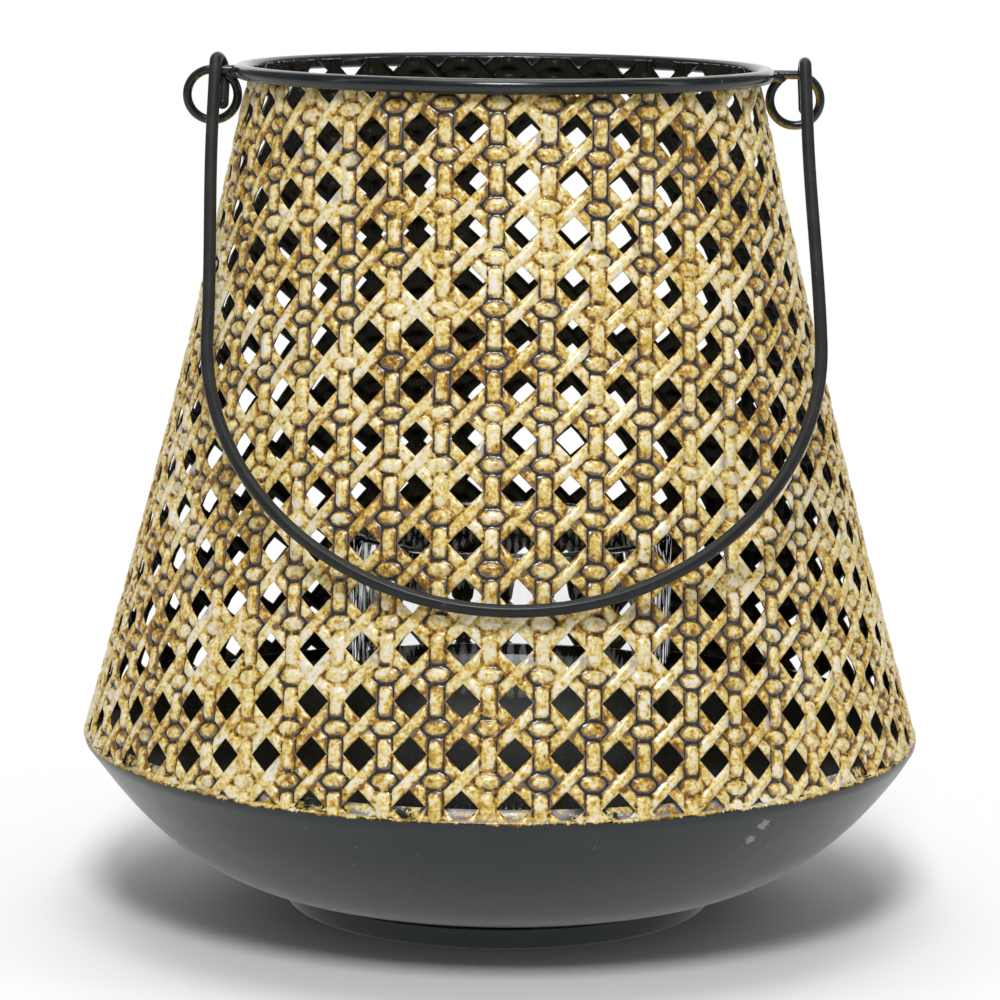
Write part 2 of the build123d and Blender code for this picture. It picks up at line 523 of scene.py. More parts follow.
@dataclass(frozen=True)
class MistedEnamel(SatinEnamel):
    """The eyelets' enamel, with stray gold paint on the undersides that the attribute mist marks."""

    name: str = "misted_enamel"
    roughness: float = 0.20
    gold: Colour = (0.34, 0.20, 0.03)
    speck: Grain = Grain(0.8 * MM, 3.0, 0.7)
    speck_weight: float = 0.9
    misted: Flat = (0.93, 1.18)

    def dress(self, desk: NodeDesk, shader: Node) -> None:
        """Sprinkles the gold over the enamel.

        Args:
            desk: the tree to work on.
            shader: the material's shader.
        """
        place, colour = self.enamel(desk, shader)
        cover = desk.more(desk.attribute("mist"), desk.noise(place, self.speck), self.speck_weight)
        desk.feed(shader, {"Base Color": desk.mix(desk.step(cover, self.misted), colour, self.gold)})


@dataclass(frozen=True)
class ClearGlass(Finish):
    """Clear pressed glass with a faint drift in its polish."""

    name: str = "tumbler_glass"
    tint: Colour = (0.98, 0.99, 0.985)
    refraction: float = 1.47
    smudge: Grain = Grain(18.0 * MM, 3.0, 0.6)
    smudged: Flat = (0.5, 0.9)
    dullest: float = 0.02

    def dress(self, desk: NodeDesk, shader: Node) -> None:
        """Sets the glass.

        Args:
            desk: the tree to work on.
            shader: the material's shader.
        """
        smudge = desk.step(desk.noise(desk.place(), self.smudge), self.smudged)
        desk.feed(shader, {
            "Base Color": self.tint,
            "Transmission Weight": 1.0,
            "IOR": self.refraction,
            "Roughness": desk.span(smudge, 0.0, self.dullest),
        })


def add_piece(name: str, mesh: Mesh, body: str, slot: str, *nodes: str) -> None:
    """Shows a mesh as a piece of the lantern.

    Args:
        name: the piece's name.
        mesh: its mesh, in the lantern's own frame.
        body: the body that it rides on.
        slot: the record's material slot; not used.
        *nodes: the solids that it stands for.
    """
    piece = bpy.data.objects.new(name, mesh)
    bpy.context.scene.collection.objects.link(piece)
    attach(piece, body)
    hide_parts(*nodes)
    LOG.info("%s: %d faces on %s", name, len(mesh.polygons), body)


def to_mesh(name: str, work: Work, finish: Finish, sharp: float = 40.0) -> Mesh:
    """Turns a closed working mesh into a smooth, dressed one.

    Args:
        name: the mesh's name.
        work: the working mesh, which is freed.
        finish: what the surface wears.
        sharp: the angle in degrees past which an edge stays sharp.

    Returns:
        The mesh.
    """
    bmesh.ops.recalc_face_normals(work, faces=work.faces)
    mesh = bpy.data.meshes.new(name)
    work.to_mesh(mesh)
    work.free()
    mesh.shade_smooth()
    mesh.set_sharp_from_angle(angle=math.radians(sharp))
    mesh.materials.append(finish.material())
    return mesh


def store(mesh: Mesh, name: str, values: Sequence[float]) -> None:
    """Stores a number for each point of a mesh, as a named attribute."""
    mesh.attributes.new(name, "FLOAT", "POINT").data.foreach_set("value", values)


def share(value: float, start: float, end: float) -> float:
    """Returns how far a value has come from a start to an end, held between 0 and 1."""
    return min(1.0, max(0.0, (value - start) / (end - start)))


def turns(count: int) -> list[float]:
    """Returns the angles of a full turn in a number of steps."""
    return [2 * math.pi * i / count for i in range(count)]


def arc(centre: Flat, radius: float, start: float, end: float, steps: int) -> list[Flat]:
    """Returns points along an arc in a section, from one angle in degrees to another."""
    angles = [math.radians(start + (end - start) * i / steps) for i in range(steps + 1)]
    return [(centre[0] + radius * math.cos(a), centre[1] + radius * math.sin(a)) for a in angles]


def bulge(start: Flat, end: Flat, rise: float, steps: int) -> list[Flat]:
    """Draws an arc between two points that rises to the right of its chord.

    Args:
        start: the first point.
        end: the last point.
        rise: how far the arc's middle lies from the chord.
        steps: the number of steps along it.

    Returns:
        The points along the arc.
    """
    chord = Vector(end) - Vector(start)
    right = Vector((chord.y, -chord.x)).normalized()
    radius = (chord.length_squared / 4 + rise * rise) / (2 * rise)
    middle = (Vector(start) + Vector(end)) / 2 + right * (rise - radius)
    first = math.degrees(math.atan2(start[1] - middle.y, start[0] - middle.x))
    last = math.degrees(math.atan2(end[1] - middle.y, end[0] - middle.x))
    return arc((middle.x, middle.y), radius, first, last, steps)


def curve(start: Flat, lead: Flat, trail: Flat, end: Flat, steps: int) -> list[Flat]:
    """Draws a cubic curve between two points.

    Args:
        start: the first point.
        lead: the handle that the curve sets out for.
        trail: the handle that it comes in from.
        end: the last point.
        steps: the number of steps along it.

    Returns:
        The points along the curve.
    """
    shares = [i / steps for i in range(steps + 1)]
    points = [Vector(p) for p in (start, lead, trail, end)]
    weights = [((1 - t) ** 3, 3 * t * (1 - t) ** 2, 3 * t * t * (1 - t), t ** 3) for t in shares]
    return [tuple(sum((p * w for p, w in zip(points, row)), Vector((0.0, 0.0)))) for row in weights]


def lathe(section: Sequence[Flat], segments: int, centre: float = 0.0) -> Work:
    """Turns a section round an upright axis.

    Args:
        section: radius and height of each point. It either closes on itself or runs from axis to axis.
        segments: the number of steps round the axis.
        centre: the axis's place along X.

    Returns:
        A closed working mesh.
    """
    work = bmesh.new()
    rings = []
    for radius, height in section:
        around = [(centre + radius * math.sin(a), -radius * math.cos(a), height) for a in turns(segments)]
        rings.append([work.verts.new(spot) for spot in (around if radius else around[:1])])
    on_axis = len(rings[0]) == 1
    pairs = list(zip(rings, rings[1:])) + ([] if on_axis else [(rings[-1], rings[0])])
    for pair in pairs:
        lower, upper = (ring if len(ring) > 1 else ring * segments for ring in pair)
        for i in range(segments):
            j = (i + 1) % segments
            work.faces.new(list(dict.fromkeys((lower[i], lower[j], upper[j], upper[i]))))
    return work


def sweep_wire(path: Sequence[Vector], radius: float, sides: int, closed: bool = False) -> Work:
    """Draws a round wire along a path.

    Args:
        path: the points of the wire's middle line.
        radius: the wire's radius.
        sides: the number of sides round it.
        closed: whether the path runs back into its first point.

    Returns:
        A closed working mesh, with domed ends on an open wire.
    """
    work = bmesh.new()
    last = len(path) - 1
    dome = [(math.cos(math.radians(a)), math.sin(math.radians(a))) for a in DOME_ANGLES]
    side = (path[1] - path[0]).orthogonal()
    rings = []

    def add_ring(middle: Vector, along: Vector, size: float) -> None:
        """Adds one ring of the wire.

        Args:
            middle: the ring's middle.
            along: the wire's direction there.
            size: the ring's radius.
        """
        across = along.cross(side)
        spots = [middle + (side * math.cos(a) + across * math.sin(a)) * size for a in turns(sides)]
        rings.append([work.verts.new(spot) for spot in spots])

    for i, spot in enumerate(path):
        before = path[i - 1] if closed or i else spot
        after = path[(i + 1) % len(path)] if closed or i < last else spot
        along = (after - before).normalized()
        side = (side - along * side.dot(along)).normalized()
        if i == 0 and not closed:
            for shrink, reach in reversed(dome):
                add_ring(spot - along * radius * reach, along, radius * shrink)
        add_ring(spot, along, radius)
        if i == last and not closed:
            for shrink, reach in dome:
                add_ring(spot + along * radius * reach, along, radius * shrink)
    for lower, upper in list(zip(rings, rings[1:])) + ([(rings[-1], rings[0])] if closed else []):
        for k in range(sides):
            n = (k + 1) % sides
            work.faces.new((lower[k], lower[n], upper[n], upper[k]))
    if not closed:
        work.faces.new(reversed(rings[0]))
        work.faces.new(rings[-1])
    return work


class TileDraft:
    """Collects the points and outlines of one repeat of the weave, each with its half-turned copy."""

    DIGITS = 5

    def __init__(self) -> None:
        """Starts an empty draft."""
        self.spots: dict[Flat, int] = {}
        self.heights: list[float] = []
        self.edges: set[tuple[int, int]] = set()

    def spot(self, across: float, up: float, height: float) -> int:
        """Finds a point, which is added if it is new.

        Args:
            across: its place across the tile.
            up: its place up the tile.
            height: its height.

        Returns:
            The point's number.
        """
        key = (round(across, self.DIGITS), round(up, self.DIGITS))
        if key not in self.spots:
            self.spots[key] = len(self.heights)
            self.heights.append(height)
        return self.spots[key]

    def chain(self, points: Sequence[Spot], closed: bool = False) -> None:
        """Adds an outline and its half-turned copy.

        Args:
            points: the outline's points with their heights.
            closed: whether it runs back into its first point.
        """
        for turn in (1, -1):
            ids = [self.spot(turn * x, turn * y, h) for x, y, h in points]
            ends = ids[1:] + (ids[:1] if closed else [])
            self.edges.update(zip(ids, ends))

    def arch(self, half: Sequence[Spot], *crown: Spot) -> None:
        """Adds an outline that runs over a crown and on into its own mirror image."""
        self.chain([*half, *crown, *((-x, y, h) for x, y, h in reversed(half))])


@dataclass(frozen=True)
class CaneTile:
    """One repeat of the pressed cane weave, a square whose corners are the middles of four holes.

    Lengths are shares of the pitch. Heights run from 0 on the groove floor to 1 on the highest crowns.
    """

    hole: float = 0.336
    strand_end: float = 0.166
    strand_flat: float = 0.64
    slash_tip: float = 0.285
    slash_notch: float = 0.415
    stub_tip: float = 0.295
    stub_notch: float = 0.43
    bar_half: float = 0.140
    bar_end: float = 0.208
    bar_flat: float = 0.68
    bar_crown: float = 0.115
    oval_half: Flat = (0.260, 0.150)
    oval_sides: int = 10
    oval_shoulder: Flat = (0.70, 0.72)
    oval_ridge: Flat = (0.30, 0.92)
    oval_inside: float = 0.98
    lip_middle: float = 0.16
    lip: float = 0.30
    dip: float = 0.12
    tip: float = 0.24
    flank: float = 0.82
    bar_foot: float = 0.04
    bar_flank: float = 0.86
    lip_cover: float = 0.46
    lip_least: float = 0.2
    lip_slack: float = 0.001
    nearest: float = 1e-6
    lee_strand: Flat = (0.3, 0.5)
    lee_half: float = 0.1

    @property
    def foot(self) -> float:
        """How far a slanting strand's foot lies from its crossing, along the edge of the square."""
        return 0.5 - self.hole

    @staticmethod
    def on_strand(rise: int, along: float, across: float, height: float) -> Spot:
        """Returns a point along and across a strand that slants up, for a rise of 1, or down, for -1."""
        root = math.sqrt(0.5)
        return -0.5 + (along - across) * root, rise * (along + across) * root, height

    def draw_slash(self, draft: TileDraft) -> None:
        """Draws the long slanting strand that passes over each crossing.

        Args:
            draft: the draft to draw on.
        """
        foot, end, lip, flank = self.foot, self.strand_end, self.lip, self.flank
        at = partial(self.on_strand, 1)
        half = self.strand_flat * foot * math.sqrt(0.5)
        tip = (-0.5 + self.slash_tip, self.slash_tip + foot, self.tip)
        middle = (-0.5 + self.lip_middle, self.lip_middle + foot, lip)
        draft.chain([
            (-0.5, -foot, lip), (-0.5 + foot / 2, -foot / 2, self.dip), (-0.5 + foot, 0.0, 0.0),
            (-end, 0.5 - foot - end, 0.0), (-end, self.slash_notch, 0.0), tip,
        ])
        draft.chain([(-0.5, foot, lip), middle, tip, (-foot, 0.5, self.dip)])
        draft.chain([
            at(half, half, flank), at(0.26, half, flank), at(0.45, 0.075, 0.66),
            at(0.405, -0.02, 0.66), at(0.295, -half, 0.78), at(-half, -half, flank),
        ])
        draft.chain([at(0.0, 0.0, 1.0), at(0.18, 0.0, 1.0), at(0.345, 0.012, 0.90)])
        draft.chain([
            (-0.5, -foot, lip), at(-half, -half, flank), at(0.0, 0.0, 1.0),
            at(half, half, flank), (-0.5, foot, lip),
        ])

    def draw_stub(self, draft: TileDraft) -> None:
        """Draws the short strand that shows where the other slant passes under.

        Args:
            draft: the draft to draw on.
        """
        foot, end, lip = self.foot, self.strand_end, self.lip
        at = partial(self.on_strand, -1)
        tip = (-0.5 + self.stub_tip, -foot - self.stub_tip, self.tip)
        middle = (-0.5 + self.lip_middle, -self.lip_middle - foot, lip)
        notch = (-end, -self.stub_notch, 0.0)
        draft.chain([(-0.5, -foot, lip), middle, tip, (-foot, -0.5, self.dip)])
        draft.chain([(-0.5 + foot, 0.0, 0.0), (-end, foot - 0.5 + end, 0.0), notch, tip])
        draft.chain([
            at(0.205, 0.072, 0.66), at(0.33, 0.082, 0.74), at(0.44, 0.072, 0.62),
            at(0.41, 0.0, 0.66), at(0.33, -0.078, 0.70), at(0.21, -0.074, 0.62),
        ], closed=True)
        draft.chain([at(0.24, 0.0, 0.80), at(0.35, 0.01, 0.86)])

    def draw_upright(self, draft: TileDraft) -> None:
        """Draws the upper half of the upright bar between two holes.

        Args:
            draft: the draft to draw on.
        """
        half, end = self.bar_half, self.bar_end
        crown = end + self.bar_crown
        foot = (-half, -0.5, self.bar_foot)
        flank = (-self.bar_flat * half, -0.5, self.bar_flank)
        draft.arch([(-self.foot, -0.5, self.dip), foot, flank], (0.0, -0.5, 1.0))
        draft.arch([foot, (-half, -end - 0.075, 0.0), (-0.72 * half, -end - 0.012, 0.0)], (0.0, -end, 0.0))
        draft.arch([flank, (flank[0], -crown, 0.84), (-0.42 * half, -end - 0.05, 0.74)])
        draft.chain([(0.0, -0.5, 1.0), (0.0, -crown, 0.98), (0.0, -end - 0.07, 0.87)])

    def draw_oval(self, draft: TileDraft) -> None:
        """Draws the oval bead of the level strand that shows between two upright bars.

        Args:
            draft: the draft to draw on.
        """
        wide, tall = self.oval_half
        for size, height in ((1.0, 0.0), self.oval_shoulder):
            around = turns(self.oval_sides)
            ring = [(wide * size * math.cos(a), tall * size * math.sin(a), height) for a in around]
            draft.chain(ring, closed=True)
        ridge, height = self.oval_ridge
        draft.chain([(-ridge * wide, 0.0, height), (ridge * wide, 0.0, height)])

    def cover(self, across: float, up: float, height: float) -> float:
        """Returns how well the sponge reaches a point, where a hole's edge counts as higher than it is."""
        at_hole = abs(across) + abs(up) > 1.0 - self.hole - self.lip_slack
        return max(height, self.lip_cover) if at_hole and height > self.lip_least else height

    def lee(self, across: float, up: float) -> float:
        """Finds the lee of the sponge, on the right end of an oval or of a long strand, where a painted
        reflection goes.

        Args:
            across: the point's place across the tile.
            up: its place up the tile.

        Returns:
            How far the point lies in the lee, from 0 to 1.
        """
        wide, tall = self.oval_half
        if (across / wide) ** 2 + (up / tall) ** 2 < self.oval_inside:
            return max(0.0, across / wide)
        along = (across + 0.5 + up) * math.sqrt(0.5)
        aside = abs(up - across - 0.5) * math.sqrt(0.5)
        start, end = self.lee_strand
        return 1.0 if across < -self.bar_half and aside < self.lee_half and start < along < end else 0.0

    def mesh(self, relief: float) -> Mesh:
        """Builds the tile.

        Args:
            relief: the height of the crowns over the groove floor, as a share of the pitch.

        Returns:
            An open sheet, one unit square, that stores the sponge's reach as lift and its lee, where a
            painted reflection goes, as a second attribute.
        """
        draft = TileDraft()
        for draw in (self.draw_slash, self.draw_stub, self.draw_upright, self.draw_oval):
            draw(draft)
        spots = [Vector(key) for key in draft.spots]
        edges = sorted(draft.edges)
        flat, _, faces, sources, _, _ = delaunay_2d_cdt(spots, edges, [], 0, self.nearest, True)
        heights = [draft.heights[source[0]] if source else 0.0 for source in sources]
        mesh = bpy.data.meshes.new("cane_tile")
        mesh.from_pydata([(p.x, p.y, h * relief) for p, h in zip(flat, heights)], [], faces)
        store(mesh, "lift", [self.cover(p.x, p.y, h) for p, h in zip(flat, heights)])
        store(mesh, "lee", [self.lee(p.x, p.y) for p in flat])
        LOG.info("cane tile: %d points drawn, %d kept, %d faces", len(spots), len(flat), len(faces))
        return mesh


class SheetTree:
    """The node tree that lays the tiles on a flat half sheet, about its apex, and rolls it into a cone."""

    SOCKETS = {"Sheet": "Geometry", "Tile": "Object", "Paint": "Material"}
    COUNTS = ("Columns", "Rows", "Seed")
    NUMBERS = (
        "Pitch", "Stretch", "Left", "Upper", "Skew", "Fan", "Half Angle", "Apex", "Top", "Bottom",
        "Hollow", "Relief", "Wander", "Wander Size",
    )
    # Shares of the pitch: how far off the sheet a tile's middle may lie, and how near two points merge
    MARGIN = 0.8
    MERGE = 0.004

    def __init__(self) -> None:
        """Builds the tree."""
        self.tree = bpy.data.node_groups.new("cane_sheet", "GeometryNodeTree")
        kinds = self.SOCKETS | dict.fromkeys(self.COUNTS, "Int") | dict.fromkeys(self.NUMBERS, "Float")
        for name, kind in kinds.items():
            self.tree.interface.new_socket(name=name, in_out="INPUT", socket_type=f"NodeSocket{kind}")
        self.tree.interface.new_socket(name="Sheet", in_out="OUTPUT", socket_type="NodeSocketGeometry")
        self.desk = NodeDesk(self.tree)
        self.given = self.desk.add("NodeGroupInput").outputs
        self.sine = self.desk.math("SINE", self.given["Half Angle"])
        self.cosine = self.desk.math("COSINE", self.given["Half Angle"])
        sheet = self.stamp(self.trim(self.lay()))
        sheet = self.roll(self.waver(self.skew(sheet)))
        sheet = self.shape("RealizeInstances", sheet)
        sheet = self.shape("SetMaterial", sheet, {"Material": self.given["Paint"]})
        self.desk.add("NodeGroupOutput", {"Sheet": sheet})

    def shape(self, kind: str, sheet: Socket, inputs: Inputs | None = None, **settings: object) -> Socket:
        """Returns what a node of the given kind makes of the sheet."""
        node = self.desk.add(f"GeometryNode{kind}", {"Geometry": sheet, **(inputs or {})}, **settings)
        return node.outputs["Geometry"]

    def spot(self) -> Socket:
        """Returns the place of each point."""
        return self.desk.add("GeometryNodeInputPosition").outputs["Position"]

    def polar(self) -> tuple[Socket, Socket, Socket]:
        """Measures the points from the apex.

        Returns:
            Each point's distance, its angle on the flat sheet and its height over it.
        """
        x, y, z = self.desk.split(self.spot())
        squares = self.desk.plus(self.desk.times(x, x), self.desk.times(y, y))
        return self.desk.math("SQRT", squares), self.desk.math("ARCTAN2", x, self.desk.times(y, -1.0)), z

    def lay(self) -> Socket:
        """Lays a grid with one point for each tile.

        Returns:
            The grid.
        """
        desk, given = self.desk, self.given
        width = desk.times(desk.minus(given["Columns"], 1.0), given["Pitch"])
        height = desk.times(desk.minus(given["Rows"], 1.0), given["Pitch"])
        grid = desk.add("GeometryNodeMeshGrid", {
            "Size X": width, "Vertices X": given["Columns"],
            "Size Y": height, "Vertices Y": given["Rows"],
        })
        middle = desk.xyz(desk.more(given["Left"], width, 0.5), desk.more(given["Upper"], height, -0.5))
        return self.shape("Transform", grid.outputs["Mesh"], {"Translation": middle})

    def trim(self, grid: Socket) -> Socket:
        """Drops the points whose tiles would lie off the half sheet.

        Args:
            grid: the whole grid.

        Returns:
            What is left of it.
        """
        desk, given = self.desk, self.given
        reach, angle, _ = self.polar()
        margin = desk.times(given["Pitch"], self.MARGIN)
        nearest = desk.over(desk.minus(given["Apex"], given["Top"]), self.cosine)
        farthest = desk.over(desk.minus(given["Apex"], given["Bottom"]), self.cosine)
        widest = desk.plus(desk.times(self.sine, math.pi / 2), desk.over(margin, reach))
        above = desk.math("LESS_THAN", reach, desk.minus(nearest, margin))
        below = desk.math("GREATER_THAN", reach, desk.plus(farthest, margin))
        aside = desk.math("GREATER_THAN", desk.math("ABSOLUTE", angle), widest)
        waste = desk.plus(desk.plus(above, below), aside)
        return self.shape("DeleteGeometry", grid, {"Selection": waste}, domain="POINT")

    def stamp(self, points: Socket) -> Socket:
        """Puts a tile on each point.

        Args:
            points: the points of the grid.

        Returns:
            One flat sheet of joined tiles.
        """
        desk, pitch = self.desk, self.given["Pitch"]
        tile = desk.add("GeometryNodeObjectInfo", {"Object": self.given["Tile"]}).outputs["Geometry"]
        stamped = desk.add("GeometryNodeInstanceOnPoints", {
            "Points": points, "Instance": tile, "Scale": desk.xyz(pitch, pitch, pitch),
        })
        sheet = self.shape("RealizeInstances", stamped.outputs["Instances"])
        return self.shape("MergeByDistance", sheet, {"Distance": desk.times(pitch, self.MERGE)})

    def skew(self, sheet: Socket) -> Socket:
        """Stretches and turns the grid a little.

        Args:
            sheet: the flat sheet.

        Returns:
            The sheet, stretched across and turned about its apex.
        """
        turn = self.desk.xyz(z=self.given["Skew"])
        stretch = self.desk.xyz(self.given["Stretch"], 1.0, 1.0)
        return self.shape("Transform", sheet, {"Rotation": turn, "Scale": stretch})

    def waver(self, sheet: Socket) -> Socket:
        """Lets the strands wander.

        Args:
            sheet: the flat sheet.

        Returns:
            The sheet with its points moved a little.
        """
        desk, given = self.desk, self.given
        drift = desk.add("ShaderNodeTexNoise", {
            "Vector": desk.vector("ADD", self.spot(), desk.xyz(z=given["Seed"])),
            "Scale": desk.over(1.0, given["Wander Size"]),
            "Detail": 1.0,
        })
        swing = desk.vector("SUBTRACT", drift.outputs["Color"], (0.5, 0.5, 0.5))
        return self.shape("SetPosition", sheet, {"Offset": desk.scaled(swing, given["Wander"])})

    def roll(self, sheet: Socket) -> Socket:
        """Rolls the flat sheet into a cone that is slightly hollow between its edges.

        Args:
            sheet: the flat sheet.

        Returns:
            The rolled sheet.
        """
        desk, given = self.desk, self.given
        reach, angle, raised = self.polar()
        level = desk.minus(given["Apex"], desk.times(reach, self.cosine))
        down = desk.over(desk.minus(given["Top"], level), desk.minus(given["Top"], given["Bottom"]))
        widen = desk.more(1.0, desk.more(1.0, down, -2.0), given["Fan"])
        around = desk.over(desk.times(angle, widen), self.sine)
        dip = desk.times(desk.times(down, desk.rest(down)), 4.0)
        inward = desk.minus(raised, given["Relief"])
        radius = desk.minus(desk.times(reach, self.sine), desk.times(dip, given["Hollow"]))
        radius = desk.more(radius, inward, self.cosine)
        rolled = desk.xyz(
            desk.times(radius, desk.math("SINE", around)),
            desk.times(desk.times(radius, desk.math("COSINE", around)), -1.0),
            desk.more(level, inward, self.sine),
        )
        return self.shape("SetPosition", sheet, {"Position": rolled})

    def run(self, values: dict[str, object]) -> Mesh:
        """Runs the tree.

        Args:
            values: its inputs by name.

        Returns:
            The rolled sheet.
        """
        work = bpy.data.objects.new("cane_sheet", bpy.data.meshes.new("cane_sheet"))
        bpy.context.scene.collection.objects.link(work)
        modifier = work.modifiers.new("cane_sheet", "NODES")
        modifier.node_group = self.tree
        for item in self.tree.interface.items_tree:
            if item.in_out == "INPUT" and item.name in values:
                modifier[item.identifier] = values[item.name]
        mesh = bpy.data.meshes.new_from_object(work.evaluated_get(bpy.context.evaluated_depsgraph_get()))
        bpy.data.objects.remove(work)
        return mesh


class Half(Enum):
    """The two half sheets of the shade, by the node that each stands for."""

    FRONT = "shade_front"
    BACK = "shade_back"

    @property
    def turn(self) -> Matrix:
        """The turn that brings a sheet made for the front to its own side."""
        return Matrix.Rotation(math.pi if self is Half.BACK else 0.0, 4, "Z")


@dataclass(frozen=True)
class Sprung:
    """How the left side of the shade and the rim springs out past the true cone."""

    reach: float = 0.9 * MM
    low: float = 135.0 * MM
    high: float = 190.0 * MM

    def moved(self, spot: Vector) -> Vector:
        """Returns a point of the shade or the rim, pushed out on the left."""
        aside = max(0.0, -spot.x / math.hypot(spot.x, spot.y))
        return spot - Vector((self.reach * share(spot.z, self.low, self.high) * aside ** 4, 0.0, 0.0))


@dataclass(frozen=True)
class Stamping:
    """How the weave's grid lies on one flat half sheet, whose apex is the zero point."""

    column_pitch: float
    row_pitch: float
    column_shift: float
    first_row: float
    skew: float

    @property
    def stretch(self) -> float:
        """How much wider than tall one repeat is."""
        return self.column_pitch / self.row_pitch


@dataclass
class Shade:
    """The shade: two half sheets of pressed and punched tin, rolled into a cone."""

    paint: Finish
    inside: Finish
    tile: CaneTile = CaneTile()
    front: Stamping = Stamping(12.10 * MM, 11.82 * MM, 5.49 * MM, 9.49 * MM, -0.0049)
    back: Stamping = Stamping(12.24 * MM, 12.0 * MM, 5.11 * MM, 8.93 * MM, 0.0015)
    fan: float = 0.011
    sprung: Sprung = Sprung()
    relief: float = 1.0 * MM
    gauge: float = 0.40 * MM
    hollow: float = 1.3 * MM
    wander: float = 0.10 * MM
    wander_size: float = 9.0 * MM
    seam_gap: float = 0.2 * MM
    rim_gap: float = 0.05 * MM
    cut_slack: float = 1e-7
    sharp: float = 75.0
    seed: int = 7

    def __post_init__(self) -> None:
        """Reads the cone from the frame, by its lower edge and the rim wire that it passes inside."""
        low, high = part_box(Half.FRONT.value)
        rim_low, rim_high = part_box("rim_ring")
        wire = rim_high.z - rim_low.z
        self.bottom, self.top = low.z, high.z
        self.bottom_radius = high.x
        self.rim_height = (rim_high.z + rim_low.z) / 2
        over = self.bottom_radius - (rim_high.x - wire / 2)
        rise = self.rim_height - self.bottom
        seat = wire / 2 + self.rim_gap
        self.half_angle = math.atan2(over, rise) + math.asin(seat / math.hypot(over, rise))
        self.apex = self.bottom + self.bottom_radius / math.tan(self.half_angle)

    def slant(self, height: float) -> float:
        """Returns the distance of a height from the apex, along the cone."""
        return (self.apex - height) / math.cos(self.half_angle)

    def radius(self, height: float) -> float:
        """Returns the cone's outer radius at a height."""
        return (self.apex - height) * math.tan(self.half_angle)

    def rolled_sheet(self, tree: SheetTree, grid: Stamping) -> Mesh:
        """Stamps and rolls one half sheet.

        Args:
            tree: the node tree that does it.
            grid: how the weave lies on the sheet.

        Returns:
            The rolled sheet, which still reaches past its edges.
        """
        pitch = grid.row_pitch
        stamp = bpy.data.objects.new("cane_tile", self.tile.mesh(self.relief / pitch))
        flat_half = math.sin(self.half_angle) * math.pi / 2
        reach = int(self.slant(self.bottom) * math.sin(flat_half) / pitch) + 2
        row_start = self.slant(self.rim_height) + grid.first_row
        above = int((row_start - self.slant(self.top) * math.cos(flat_half)) / pitch) + 2
        below = int((self.slant(self.bottom) - row_start) / pitch) + 2
        mesh = tree.run({
            "Tile": stamp, "Paint": self.paint.material(), "Seed": self.seed,
            "Columns": 2 * reach, "Rows": above + below, "Pitch": pitch, "Stretch": grid.stretch,
            "Left": grid.column_shift / grid.stretch - (reach - 0.5) * pitch,
            "Upper": (above - 0.5) * pitch - row_start,
            "Skew": grid.skew, "Fan": self.fan, "Half Angle": self.half_angle, "Apex": self.apex,
            "Top": self.top, "Bottom": self.bottom, "Hollow": self.hollow, "Relief": self.relief,
            "Wander": self.wander, "Wander Size": self.wander_size,
        })
        bpy.data.objects.remove(stamp)
        return mesh

    def trimmed(self, rolled: Mesh, name: str) -> Mesh:
        """Cuts a rolled sheet along its lower edge, its top and the seams.

        Args:
            rolled: the sheet as the tree leaves it.
            name: the new mesh's name.

        Returns:
            The open half sheet, with the finishes of its outside and its inside.
        """
        work = bmesh.new()
        work.from_mesh(rolled)
        cuts = (
            ((0.0, 0.0, self.top), (0.0, 0.0, 1.0)),
            ((0.0, 0.0, self.bottom), (0.0, 0.0, -1.0)),
            ((0.0, -self.seam_gap / 2, 0.0), (0.0, 1.0, 0.0)),
        )
        for spot, away in cuts:
            whole = [*work.verts, *work.edges, *work.faces]
            bmesh.ops.bisect_plane(
                work, geom=whole, dist=self.cut_slack, plane_co=spot, plane_no=away, clear_outer=True
            )
        bmesh.ops.triangulate(work, faces=work.faces)
        for face in work.faces:
            face.material_index = 0
        mesh = bpy.data.meshes.new(name)
        work.to_mesh(mesh)
        work.free()
        for finish in (self.paint, self.inside):
            mesh.materials.append(finish.material())
        return mesh

    def half(self, sheet: Mesh, side: Half) -> Mesh:
        """Gives an open half sheet its thickness and turns it to its side.

        Args:
            sheet: the trimmed sheet.
            side: which half it becomes.

        Returns:
            The closed half sheet.
        """
        wall = bpy.data.objects.new("half_sheet", sheet)
        bpy.context.scene.collection.objects.link(wall)
        solid = wall.modifiers.new("wall", "SOLIDIFY")
        solid.thickness = self.gauge
        solid.offset = -1.0
        solid.use_even_offset = False
        solid.material_offset = 1
        solid.material_offset_rim = 1
        mesh = bpy.data.meshes.new_from_object(wall.evaluated_get(bpy.context.evaluated_depsgraph_get()))
        bpy.data.objects.remove(wall)
        mesh.transform(side.turn)
        for vert in mesh.vertices:
            vert.co = self.sprung.moved(vert.co)
        mesh.shade_smooth()
        mesh.set_sharp_from_angle(angle=math.radians(self.sharp))
        return mesh

    def build(self) -> None:
        """Builds both half sheets."""
        tree = SheetTree()
        for side, grid in ((Half.FRONT, self.front), (Half.BACK, self.back)):
            sheet = self.half(self.trimmed(self.rolled_sheet(tree, grid), side.value), side)
            add_piece(f"cane_{side.value}", sheet, "lantern", "cane_paint", side.value)


